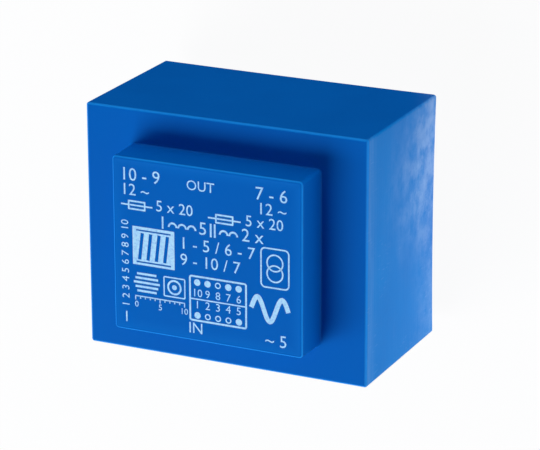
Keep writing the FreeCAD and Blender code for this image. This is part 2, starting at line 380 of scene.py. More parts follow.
@dataclass(frozen=True)
class HousingPlastic(MouldedPlastic):
    """The housing's plastic, with painted highlights in its rounded edges, and end walls painted lighter
    with a painted sheen, streaks and scratches.
    """

    # The colour of the painted highlight in the rounded edges.
    edge: Colour = (0.01, 0.3, 0.86)
    # The end walls are painted lighter, as if more light fell on them.
    ends: Colour = (0.0, 0.2, 0.61)
    # The colour of the painted sheen, streaks and scratches on the end walls.
    haze: Colour = (0.26, 0.39, 0.78)
    end_at: float = 26.2
    # The middle of a spot of painted sheen on the end wall.
    bloom_at: Point3 = (26.5, 9.0, 4.0)

    def _haze(self, shader: Shader, place: Socket) -> Signal:
        """How much painted sheen, streaks and scratches an end wall has: clouds of sheen, most towards the
        open rim, round a spot and in a band below the shoulder, with streaks along the shoulder and fine
        ticks across them.
        """
        height = shader.axis(place, "Z")
        patch = shader.noise(place, (0.3, 0.2, 0.24), 6.0, 0.7)
        broad = shader.noise(place, (0.1, 0.07, 0.12), 2.0, 0.5)
        streak = shader.noise(place, (0.3, 0.06, 2.2), 3.0, 0.5)
        tick = shader.noise(place, (0.5, 3.4, 0.45), 2.0, 0.4)
        # Painted sheen grows towards the open rim, round a spot and in a band below the shoulder.
        to_rim = height.step(13.0, -3.0)
        bloom = shader.distance(place, self.bloom_at).step(22.0, 2.0)
        to_shoulder = height.step(25.0, 29.4)
        cover = to_rim * 0.55 + bloom * 0.85 + (broad - 0.4) * 0.3
        haze = patch.step(0.24, 0.74) * cover + (streak - 0.5) * 0.16
        haze = haze + to_shoulder * (0.28 + (streak - 0.5) * 0.5)
        return haze + tick.step(0.64, 0.7) * broad.step(0.42, 0.6) * 0.22

    def _skin(self, shader: Shader, place: Socket, cloud: Signal) -> dict[str, Any]:
        """Add the painted edge highlights, the end walls painted lighter, and on them the painted sheen
        with streaks and scratches, which also sets a thin glossy coat.
        """
        found = super()._skin(shader, place, cloud)
        end_wall = abs(shader.axis(place, "X")).step(self.end_at - 0.2, self.end_at + 0.2)
        haze = end_wall * self._haze(shader, place)
        # Paint the end walls lighter, as if more light fell on them, in clouds.
        tone = shader.blend(end_wall * (0.75 + (cloud - 0.5) * 0.6), found["Base Color"], self.ends)

        # Paint the sheen, streaks and scratches onto the end walls.
        tone = shader.blend(haze * 0.5, tone, self.haze)
        # Paint a highlight into the rounded edges.
        found["Base Color"] = shader.blend(shader.carried(EDGE_HIGHLIGHT) ** 1.5, tone, self.edge)
        found["Coat Weight"] = haze.step(0.0, 1.0) * 0.9
        found["Coat Roughness"] = 0.34
        return found


@dataclass(frozen=True)
class PrintInk(Finish):
    """Pad printed white ink, thin and a little grainy, so that the plastic shows through it."""

    ground: Colour

    def look(self, shader: Shader, place: Socket) -> dict[str, Any]:
        """Fine grain thins the film here and there."""
        grain = shader.noise(place, 2.4, 5.0, 0.75)
        patch = shader.noise(place, 0.7, 2.0, 0.5)
        thin = grain.step(0.42, 0.66) * 0.42 + patch.step(0.48, 0.76) * 0.2
        return {
            "Base Color": shader.blend(thin, self.colour, self.ground),
            "Roughness": 0.5 + (grain - 0.5) * 0.2,
            "Normal": shader.relief(grain, 0.004),
            "Specular IOR Level": 0.3,
        }


@dataclass(frozen=True)
class CastResin(Finish):
    """Cast resin with a skin: glossy, gently rippled, with a few small burst bubbles."""

    deep: Colour

    def look(self, shader: Shader, place: Socket) -> dict[str, Any]:
        """Ripples and bubbles bend the gloss, and the filler clouds the colour."""
        ripple = shader.noise(place, 0.16, 2.0, 0.45)
        cloud = shader.noise(place, 0.35, 4.0, 0.6)
        filler = shader.noise(place, 6.0, 3.0, 0.6)
        bubble = shader.cells(place, 0.34, 1.0).step(0.16, 0.05)
        height = ripple * 0.35 + filler * 0.006 - bubble * 0.05
        return {
            "Base Color": shader.blend(cloud.step(0.35, 0.7) * 0.6 + bubble * 0.3, self.colour, self.deep),
            "Roughness": 0.22 + cloud * 0.14 + bubble * 0.15,
            "Normal": shader.relief(height, 1.0),
            "Specular IOR Level": 0.5,
        }


@dataclass(frozen=True)
class TinnedMetal(Finish):
    """Metal dipped in tin: bright, with slow runs along the wire and a dull bloom."""

    bloom: Colour
    roughness: float

    def look(self, shader: Shader, place: Socket) -> dict[str, Any]:
        """Runs bend the gloss and bloom dulls it."""
        run = shader.noise(place, (1.6, 1.6, 0.72), 3.0, 0.5)
        bloom = shader.noise(place, 3.0, 5.0, 0.65).step(0.42, 0.7)
        return {
            "Base Color": shader.blend(bloom, self.colour, self.bloom),
            "Metallic": 0.55,
            "Roughness": self.roughness + bloom * 0.22,
            "Normal": shader.relief(run, 0.05),
        }


@dataclass(frozen=True)
class CoreSheet(Finish):
    """Cold rolled electrical sheet with a thin blue grey oxide and rolling lines."""

    oxide: Colour

    def look(self, shader: Shader, place: Socket) -> dict[str, Any]:
        """Rolling lines run along the plates and the oxide lies in clouds."""
        line = shader.noise(place, (0.2, 6.0, 0.2), 4.0, 0.6)
        oxide = shader.noise(place, 0.3, 5.0, 0.6).step(0.3, 0.7)
        return {
            "Base Color": shader.blend(oxide, self.colour, self.oxide),
            "Metallic": 0.85,
            "Roughness": 0.34 + oxide * 0.2 + (line - 0.5) * 0.12,
            "Normal": shader.relief(line, 0.004),
        }


@dataclass(frozen=True)
class EnamelledWire(Finish):
    """Layers of enamelled copper wire, wound round the coil's axis, which runs along Y."""

    # The colour of the painted shade between the turns.
    gap: Colour
    pitch_mm: float

    def look(self, shader: Shader, place: Socket) -> dict[str, Any]:
        """A round ridge for each turn, with painted shade between the turns."""
        wander = shader.noise(place, 0.5, 2.0, 0.5)
        turn = shader.axis(place, "Y") * (2.0 * math.pi / self.pitch_mm) + wander * 0.8
        ridge = shader.math("COSINE", turn, 0.0) * 0.5 + 0.5
        return {
            # Paint shade between the turns.
            "Base Color": shader.blend(ridge.step(0.0, 0.45), self.gap, self.colour),
            "Metallic": 0.8,
            "Roughness": 0.26 + (1 - ridge) * 0.2,
            "Normal": shader.relief(ridge, self.pitch_mm * 0.3),
        }


@dataclass(frozen=True)
class FilmTape(Finish):
    """Polyester film tape, wrinkled a little where it laps."""

    lap: Colour

    def look(self, shader: Shader, place: Socket) -> dict[str, Any]:
        """Laps are darker, and wrinkles run across the coil."""
        lap = shader.noise(place, (0.2, 1.4, 0.2), 2.0, 0.4).step(0.48, 0.6)
        wrinkle = shader.noise(place, (1.2, 0.18, 1.2), 3.0, 0.5)
        return {
            "Base Color": shader.blend(lap * 0.7, self.colour, self.lap),
            "Roughness": 0.2 + wrinkle * 0.15,
            "Normal": shader.relief(wrinkle, 0.08),
            "Coat Weight": 0.4 + lap * 0.2,
        }


HOUSING = HousingPlastic("housing_blue_satin", (0.0, 0.119, 0.48), (0.0, 0.15, 0.57), 0.46, 0.09)
BOBBIN = MouldedPlastic("bobbin_black_matte", (0.022, 0.022, 0.024), (0.05, 0.05, 0.055), 0.55, 0.4)
INK = PrintInk("print_white_ink", (0.52, 0.82, 1.0), (0.12, 0.36, 0.8))
RESIN = CastResin("resin_blue_cast", (0.0, 0.085, 0.30), (0.0, 0.05, 0.20))
TIN = TinnedMetal("pin_tinned", (0.90, 0.90, 0.89), (0.70, 0.70, 0.70), 0.24)
SOLDER = TinnedMetal("solder_bright", (0.72, 0.72, 0.71), (0.50, 0.50, 0.51), 0.3)
SHEET = CoreSheet("core_sheet_oxide", (0.40, 0.41, 0.43), (0.16, 0.18, 0.22))
THIN_WIRE = EnamelledWire("winding_thin_wire", (0.62, 0.24, 0.10), (0.16, 0.05, 0.02), 0.4)
THICK_WIRE = EnamelledWire("winding_thick_wire", (0.66, 0.28, 0.12), (0.18, 0.06, 0.02), 0.5)
TAPE = FilmTape("tape_yellow_film", (0.78, 0.60, 0.08), (0.60, 0.42, 0.04))

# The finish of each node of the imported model, by what the node's name starts with.
NODE_FINISHES: tuple[tuple[tuple[str, ...], Finish], ...] = (
    (("housing",), HOUSING),
    (("resin",), RESIN),
    (("bobbin",), BOBBIN),
    (("e_plate", "i_plates"), SHEET),
    (("pin_",), TIN),
    (("solder_",), SOLDER),
    (("primary_winding",), THIN_WIRE),
    (("secondary_winding",), THICK_WIRE),
    (("primary_tape", "secondary_tape", "secondary_layer_tape"), TAPE),
)


def show(name: str, data: Any) -> Piece:
    """Put a datablock in the scene as an object."""
    made = bpy.data.objects.new(name, data)
    bpy.context.scene.collection.objects.link(made)
    return made


def evaluated(piece: Piece) -> bpy.types.Mesh:
    """A new mesh of an object, as its modifiers or its curve make it."""
    bpy.context.view_layer.update()
    graph = bpy.context.evaluated_depsgraph_get()
    return bpy.data.meshes.new_from_object(piece.evaluated_get(graph))


def finish_mesh(source: Mesh, name: str, smooth: bool = True) -> bpy.types.Mesh:
    """Turn a mesh in millimetres into a mesh datablock in metres, and free it."""
    bmesh.ops.scale(source, vec=(MM, MM, MM), verts=source.verts)
    for face in source.faces:
        face.smooth = smooth
    made = bpy.data.meshes.new(name)
    source.to_mesh(made)
    source.free()
    return made


def add_piece(name: str, mesh: Mesh, finish: Finish, smooth: bool = True) -> Piece:
    """Put a mesh in the scene as a piece that rides on the transformer.

    Args:
        name: The piece's name.
        mesh: Its mesh, in millimetres in the row frame.
        finish: The finish that it wears.
        smooth: Whether its faces are shaded as one round surface.

    Returns:
        The piece.
    """
    piece = show(name, finish_mesh(mesh, name, smooth))
    finish.dress(piece)
    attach(piece, "root")
    log.info("piece %s: %d faces", name, len(piece.data.polygons))
    return piece


def quarter_turn(steps: int) -> list[float]:
    """Angles from 0 to a right angle, in even steps."""
    return [0.5 * math.pi * k / steps for k in range(steps + 1)]


@dataclass(frozen=True)
class Level:
    """One level outline of a moulding: a rectangle with round corners, about the Z axis."""

    half_x: float
    half_y: float
    radius: float
    z: float
    # How strongly the outline's points carry the painted highlight, along its sides and in the middle of
    # its corners.
    edge: float = 0.0
    corner: float = 0.0

    def grown(self, outset: float, z: float, turn: float = 0.0) -> "Level":
        """The same outline, larger by an outset, at another height.

        Args:
            outset: How much larger it is on each side.
            z: Its height.
            turn: How far it lies round the edge of a face: 0 on the wall and a right angle on the face.

        Returns:
            The outline.
        """
        radius = max(self.radius + outset, 0.0)
        # The painted highlight is strongest halfway round the edge, and in the upright corners it fades
        # towards the face.
        edge, corner = math.sin(2 * turn), self.corner * math.cos(turn)
        return Level(self.half_x + outset, self.half_y + outset, radius, z, edge, corner)

    def flat(self, outset: float, z: float, edge: float = 0.0) -> "Level":
        """The same outline on a level face, with only as much painted edge highlight as it is given and
        none in its corners.
        """
        return replace(self.grown(outset, z), edge=edge, corner=0.0)

    def ring(self, spans: Spans) -> list[tuple[Vector, float]]:
        """The outline's points, anticlockwise from above, each with its weight of painted highlight.

        Args:
            spans: The number of spans on a side along X, on a side along Y and round a corner.

        Returns:
            The points in millimetres, each with its weight of painted highlight: 1 for the middle of a
            round edge and 0 for a flat.
        """
        along_x, along_y, in_corner = spans
        a, b, r = self.half_x - self.radius, self.half_y - self.radius, self.radius
        arcs = []
        for x, y, start in ((a, b, 0.0), (-a, b, 0.5), (-a, -b, 1.0), (a, -b, 1.5)):
            turned = []
            for k in range(in_corner + 1):
                angle = math.pi * (start + 0.5 * k / in_corner)
                # The painted highlight runs down the middle of each round corner.
                bend = self.corner * math.sin(math.pi * k / in_corner)
                point = Vector((x + r * math.cos(angle), y + r * math.sin(angle), self.z))
                turned.append((point, max(self.edge, bend)))
            arcs.append(turned)
        found: list[tuple[Vector, float]] = []
        for this, following, count in zip(arcs, arcs[1:] + arcs[:1], (along_x, along_y) * 2):
            last, after = this[-1][0], following[0][0]
            found += this + [(last.lerp(after, k / count), self.edge) for k in range(1, count)]
        return found


def disc(radius: float, z: float) -> Level:
    """A round outline about the Z axis."""
    return Level(radius, radius, radius, z)


def weave(mesh: Mesh, rings: Sequence[Sequence[Any]]) -> None:
    """Join each ring of points to the next one with faces."""
    for lower, upper in zip(rings, rings[1:]):
        for i, vert in enumerate(lower):
            j = (i + 1) % len(lower)
            mesh.faces.new((vert, lower[j], upper[j], upper[i]))


def sealed(mesh: Mesh, reach: float = 1e-5) -> Mesh:
    """Merge the points that lie within a reach of each other and turn every face outwards."""
    bmesh.ops.remove_doubles(mesh, verts=mesh.verts, dist=reach)
    bmesh.ops.recalc_face_normals(mesh, faces=mesh.faces)
    return mesh


def skin(levels: Sequence[Level], spans: Spans) -> Mesh:
    """Join a row of outlines into one closed skin.

    Args:
        levels: The outlines, in order. The first and the last one are filled.
        spans: The spans along X, along Y and in a corner.

    Returns:
        The skin, in millimetres.
    """
    mesh = bmesh.new()
    # Each point keeps its weight of painted highlight for the housing's material.
    edge = mesh.verts.layers.float.new(EDGE_HIGHLIGHT)
    rings = []
    for level in levels:
        rings.append([])
        for point, share in level.ring(spans):
            vert = mesh.verts.new(point)
            vert[edge] = share
            rings[-1].append(vert)
    weave(mesh, rings)
    mesh.faces.new(list(reversed(rings[0])))
    mesh.faces.new(rings[-1])
    return sealed(mesh)


def block(low: Sequence[float], high: Sequence[float]) -> Mesh:
    """A plain block between two corners, in millimetres."""
    mesh = bmesh.new()
    bmesh.ops.create_cube(mesh, size=1.0)
    for vert in mesh.verts:
        share = vert.co + Vector((0.5, 0.5, 0.5))
        vert.co = Vector([a + (b - a) * s for a, b, s in zip(low, high, share)])
    return mesh


def unite(piece: Piece, addition: bpy.types.Mesh) -> None:
    """Join a mesh to a piece as one solid."""
    tool = show("tool", addition)
    modifier = piece.modifiers.new("unite", "BOOLEAN")
    modifier.operation = "UNION"
    modifier.solver = "EXACT"
    modifier.object = tool
    joined = evaluated(piece)
    piece.modifiers.clear()
    spare = piece.data
    piece.data = joined
    bpy.data.objects.remove(tool)
    bpy.data.meshes.remove(addition)
    bpy.data.meshes.remove(spare)


def even_gloss(piece: Piece) -> None:
    """Weight a piece's shading by the size of its faces, so that flats stay flat beside round edges."""
    modifier = piece.modifiers.new("even_gloss", "WEIGHTED_NORMAL")
    modifier.mode = "FACE_AREA"
    modifier.weight = 80
    modifier.keep_sharp = True


@dataclass
class MouldedHousing:
    """The blue housing: a body open below, with the raised boss over the coil."""

    half_x: float = 26.5
    half_y: float = 22.0
    shoulder_z: float = 29.6
    top_z: float = 36.6
    body_edge: float = 0.5
    rim_edge: float = 0.15
    side_wall: float = 1.6
    inner_corner: float = 0.6
    inner_shoulder_z: float = 27.8
    boss_half_x: float = 17.8
    boss_half_y: float = 15.6
    boss_corner: float = 0.7
    boss_edge: float = 0.35
    boss_root: float = 0.3
    boss_draft_deg: float = 1.0
    boss_wall: float = 1.5
    flat_margin: float = 0.4
    ceiling_inset: float = 2.0
    face_margin: float = 0.25
    boss_sink: float = 0.02
    face_dish: tuple[Point, ...] = ((0.72, 0.3), (0.84, 0.8), (0.96, 1.0), (1.6, 1.0), (2.8, 1.0))
    # How strong the painted highlight is at the rim of the boss face and down the upright corners.
    face_glow: float = 0.3
    corner_glow: float = 0.12
    end_warp: float = 0.26
    side_warp: float = 0.1
    core_half_x: float = 24.0
    core_half_y: float = 20.0
    core_bottom: float = 10.9
    core_top: float = 27.4
    pad_x: float = 20.5
    pad_y: float = 16.5
    pad_size: float = 2.6
    rib_width: float = 1.2
    rib_clearance: float = 0.1
    rib_lead_in: float = 2.0
    bite: float = 0.3
    spans: Spans = (40, 34, 6)
    outer_rows: int = 12
    inner_rows: int = 10
    arc_steps: int = 6

    def bore(self) -> Level:
        """The outline of the housing's inside, below the shoulder."""
        return Level(self.half_x - self.side_wall, self.half_y - self.side_wall, self.inner_corner, 0.0)

    def _round(self, outline: Level, radius: float, z: float, outset: float) -> list[Level]:
        """The outlines of a convex round edge that ends on a level face.

        Args:
            outline: The outline of the wall below the edge.
            radius: The edge's radius.
            z: The height of the level face.
            outset: How far outside the outline the wall meets the edge.

        Returns:
            The outlines, from the wall to the face.
        """
        found = []
        for turn in quarter_turn(self.arc_steps):
            inset = radius * (1 - math.cos(turn))
            height = z - radius + radius * math.sin(turn)
            found.append(outline.grown(outset - inset, height, turn))
        return found

    def _outer(self) -> list[Level]:
        """The outlines of the outer skin, from the rim to the middle of the boss."""
        body = Level(self.half_x, self.half_y, self.body_edge, 0.0, corner=self.corner_glow)
        boss = Level(self.boss_half_x, self.boss_half_y, self.boss_corner, 0.0, corner=self.corner_glow)
        slope = math.tan(math.radians(self.boss_draft_deg))
        spread = (self.top_z - self.shoulder_z) * slope

        levels = [body.grown(-self.rim_edge, 0.0), body.grown(-self.rim_edge * 0.3, self.rim_edge * 0.3)]
        foot, head = self.rim_edge, self.shoulder_z - self.body_edge
        rise = (head - foot) / self.outer_rows
        levels += [body.grown(0.0, foot + rise * k) for k in range(self.outer_rows)]
        levels += self._round(body, self.body_edge, self.shoulder_z, 0.0)
        levels.append(body.flat(-self.body_edge - self.flat_margin, self.shoulder_z))
        levels.append(boss.flat(spread + self.boss_root + self.flat_margin, self.shoulder_z))
        for turn in quarter_turn(self.arc_steps):
            outset = spread + self.boss_root * (1 - math.sin(turn))
            levels.append(boss.flat(outset, self.shoulder_z + self.boss_root * (1 - math.cos(turn))))
        middle = (self.top_z + self.shoulder_z) / 2
        levels.append(boss.grown(spread / 2, middle))
        levels += self._round(boss, self.boss_edge, self.top_z, 0.0)
        # The boss face carries painted highlight next to its rounded edge, fading inwards.
        levels.append(boss.flat(-self.boss_edge - self.face_margin, self.top_z, self.face_glow))
        for inset, share in self.face_dish:
            glow = self.face_glow * (1.0 - inset / self.face_dish[-1][0])
            levels.append(boss.flat(-inset, self.top_z - self.boss_sink * share, glow))
        return levels

    def _inner(self) -> list[Level]:
        """The outlines of the inner skin, from the middle of the boss back to the rim."""
        body = self.bore()
        boss_x, boss_y = self.boss_half_x - self.boss_wall, self.boss_half_y - self.boss_wall
        boss = Level(boss_x, boss_y, self.inner_corner, 0.0)
        ceiling = self.top_z - self.boss_wall
        head, foot = self.inner_shoulder_z, self.rim_edge
        levels = [boss.grown(-self.ceiling_inset, ceiling), boss.grown(0.0, ceiling), boss.grown(0.0, head)]
        drop = (head - foot) / self.inner_rows
        levels += [body.grown(0.0, head - drop * k) for k in range(self.inner_rows + 1)]
        levels.append(body.grown(self.rim_edge * 0.3, self.rim_edge * 0.3))
        levels.append(body.grown(self.rim_edge, 0.0))
        return levels

    def warp(self, point: Vector) -> Vector:
        """Move a point as the walls are drawn in by the shrinking of the cast, most at the open rim.

        Args:
            point: A point of the housing or of what fills it, in millimetres.

        Returns:
            The moved point.
        """
        if point.z >= self.shoulder_z:
            return point
        free = min(max(1.0 - point.z / self.shoulder_z, 0.0), 1.0) ** 1.3
        u, v = point.x / self.half_x, point.y / self.half_y
        dx = -u * self.end_warp * max(1.0 - v * v, 0.0) * free
        dy = -v * self.side_warp * max(1.0 - u * u, 0.0) * free
        return Vector((point.x + dx, point.y + dy, point.z))

    def _supports(self) -> list[Mesh]:
        """The corner pads and wall ribs inside, which place the core."""
        found = []
        for side_x in (-1, 1):
            for side_y in (-1, 1):
                x, y, half = side_x * self.pad_x, side_y * self.pad_y, self.pad_size / 2
                low = (x - half, y - half, self.core_top)
                high = (x + half, y + half, self.inner_shoulder_z + self.bite)
                found.append(block(low, high))
        bore, gap = self.bore(), self.rib_clearance
        for side in (-1, 1):
            for place in (-self.core_half_y / 2, self.core_half_y / 2):
                found.append(self._rib(side, place, bore.half_x, self.core_half_x + gap, True))
            for place in (-self.core_half_x / 2, self.core_half_x / 2):
                found.append(self._rib(side, place, bore.half_y, self.core_half_y + gap, False))
        return found

    def _rib(self, side: int, place: float, wall: float, reach: float, on_end: bool) -> Mesh:
        """One upright rib with a tapered foot.

        Args:
            side: -1 or 1, the wall that carries the rib.
            place: The rib's middle along that wall.
            wall: The wall's inner face, from the middle of the housing.
            reach: The rib's crest, from the middle of the housing.
            on_end: Whether the wall is an end wall, across X.

        Returns:
            The rib, in millimetres.
        """
        top = self.inner_shoulder_z + self.bite
        foot = self.core_bottom - self.rib_lead_in
        root = wall + self.bite
        profile = [(root, foot), (wall, foot), (reach, self.core_bottom), (reach, top), (root, top)]
        mesh = bmesh.new()
        rings = []
        for along in (place - self.rib_width / 2, place + self.rib_width / 2):
            ring = []
            for across, z in profile:
                at = (side * across, along, z) if on_end else (along, side * across, z)
                ring.append(mesh.verts.new(at))
            rings.append(ring)
        weave(mesh, rings)
        for ring in rings:
            mesh.faces.new(ring)
        return sealed(mesh)

    def build(self) -> Piece:
        """Make the housing's mesh and put it in place of the plain node."""
        shell = skin(self._inner() + self._outer(), self.spans)
        for vert in shell.verts:
            vert.co = self.warp(vert.co)
        piece = add_piece("moulded_housing", shell, HOUSING)
        for support in self._supports():
            unite(piece, finish_mesh(support, "support", False))
        even_gloss(piece)
        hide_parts("housing")
        return piece


@dataclass
class InkSheet:
    """Shapes of ink on the face of the boss, gathered into one thin printed layer."""

    face_z: float
    film: float = 0.016
    bite: float = 0.01
    cap_share: float = 0.682
    mesh: Mesh = field(default_factory=bmesh.new)

    def _gather(self, curve: bpy.types.Curve, turn: Matrix) -> None:
        """Add a flat curve's closed mesh to the sheet, and drop the curve.

        Args:
            curve: A text or a curve whose shape lies about z = 0.
            turn: How its shape is placed on the boss.
        """
        piece = show("ink", curve)
        made = evaluated(piece)
        made.transform(Matrix.Translation((0.0, 0.0, self.face_z - self.bite + self.film / 2)) @ turn)
        self.mesh.from_mesh(made)
        bpy.data.meshes.remove(made)
        bpy.data.objects.remove(piece)
        bpy.data.curves.remove(curve)

    def words(
        self, text: str, at: Point, cap: float, align: Align = Align.LEFT,
        spread: float = 1.0, turn: float = 0.0,
    ) -> None:
        """Print a few figures or letters.

        Args:
            text: What is printed.
            at: The line's left end, middle or right end on its base line.
            cap: The height of a capital.
            align: Which of them it is.
            spread: The space between letters, 1 as the typeface has it.
            turn: The line's angle, in degrees.
        """
        data = bpy.data.curves.new("words", "FONT")
        data.body = text
        data.size = 1.0
        data.align_x = align.value
        data.resolution_u = 3
        data.space_character = spread
        scale = cap / self.cap_share
        data.extrude = self.film / 2 / scale
        tilt = Matrix.Rotation(math.radians(turn), 4, "Z")
        self._gather(data, Matrix.Translation((at[0], at[1], 0.0)) @ tilt @ Matrix.Scale(scale, 4))

    def fill(self, loops: Sequence[Sequence[Point]]) -> None:
        """Print a filled shape. A loop inside another one leaves a hole.

        Args:
            loops: The shape's closed outlines.
        """
        data = bpy.data.curves.new("shape", "CURVE")
        data.dimensions = "2D"
        data.fill_mode = "BOTH"
        data.extrude = self.film / 2
        for loop in loops:
            spline = data.splines.new("POLY")
            spline.points.add(len(loop) - 1)
            for point, (x, y) in zip(spline.points, loop):
                point.co = (x, y, 0.0, 1.0)
            spline.use_cyclic_u = True
        self._gather(data, Matrix.Identity(4))

    def line(self, points: Sequence[Point], width: float) -> None:
        """Print an open line of even width."""
        self.fill([ribbon(points, width)])

    def ring(self, middle: Point, radius: float, width: float) -> None:
        """Print a circle's outline."""
        self.fill([arc(middle, radius + width / 2), arc(middle, radius - width / 2)])

    def dot(self, middle: Point, radius: float) -> None:
        """Print a filled circle."""
        self.fill([arc(middle, radius)])

    def border(self, low: Point, high: Point, radius: float, width: float) -> None:
        """Print a rectangle's outline with round corners."""
        inner_low = (low[0] + width, low[1] + width)
        inner_high = (high[0] - width, high[1] - width)
        inner_radius = max(radius - width, 0.05)
        self.fill([round_box(low, high, radius), round_box(inner_low, inner_high, inner_radius)])

    def piece(self, name: str) -> Piece:
        """Close the sheet and put it in the scene."""
        return add_piece(name, sealed(self.mesh, 1e-4), INK, smooth=False)


def arc(middle: Point, radius: float, start: float = 0.0, sweep: float = 360.0) -> list[Point]:
    """Points on a circle or a part of one, anticlockwise, with its angles in degrees."""
    whole = abs(sweep) >= 360.0
    count = max(6, round(abs(sweep) / ARC_STEP_DEG))
    last = count if whole else count + 1
    found = []
    for k in range(last):
        angle = math.radians(start + sweep * k / count)
        found.append((middle[0] + radius * math.cos(angle), middle[1] + radius * math.sin(angle)))
    return found


def round_box(low: Point, high: Point, radius: float) -> list[Point]:
    """The outline of a rectangle with round corners."""
    left, right = low[0] + radius, high[0] - radius
    foot, head = low[1] + radius, high[1] - radius
    corners = [((right, head), 0.0), ((left, head), 90.0), ((left, foot), 180.0), ((right, foot), 270.0)]
    return [point for middle, start in corners for point in arc(middle, radius, start, 90.0)]


def ribbon(points: Sequence[Point], width: float) -> list[Point]:
    """The outline of a line of even width, with mitred bends and square ends."""
    left: list[Point] = []
    right: list[Point] = []
    spots = [Vector(point) for point in points]
    for i, spot in enumerate(spots):
        before = (spot - spots[i - 1]).normalized() if i > 0 else None
        after = (spots[i + 1] - spot).normalized() if i + 1 < len(spots) else None
        along = ((before or after) + (after or before)).normalized()
        across = Vector((-along.y, along.x))
        lean = across.dot(Vector((-(after or before).y, (after or before).x)))
        shift = across * (width / 2 / max(lean, 0.3))
        left.append(tuple(spot + shift))
        right.append(tuple(spot - shift))
    return left + right[::-1]


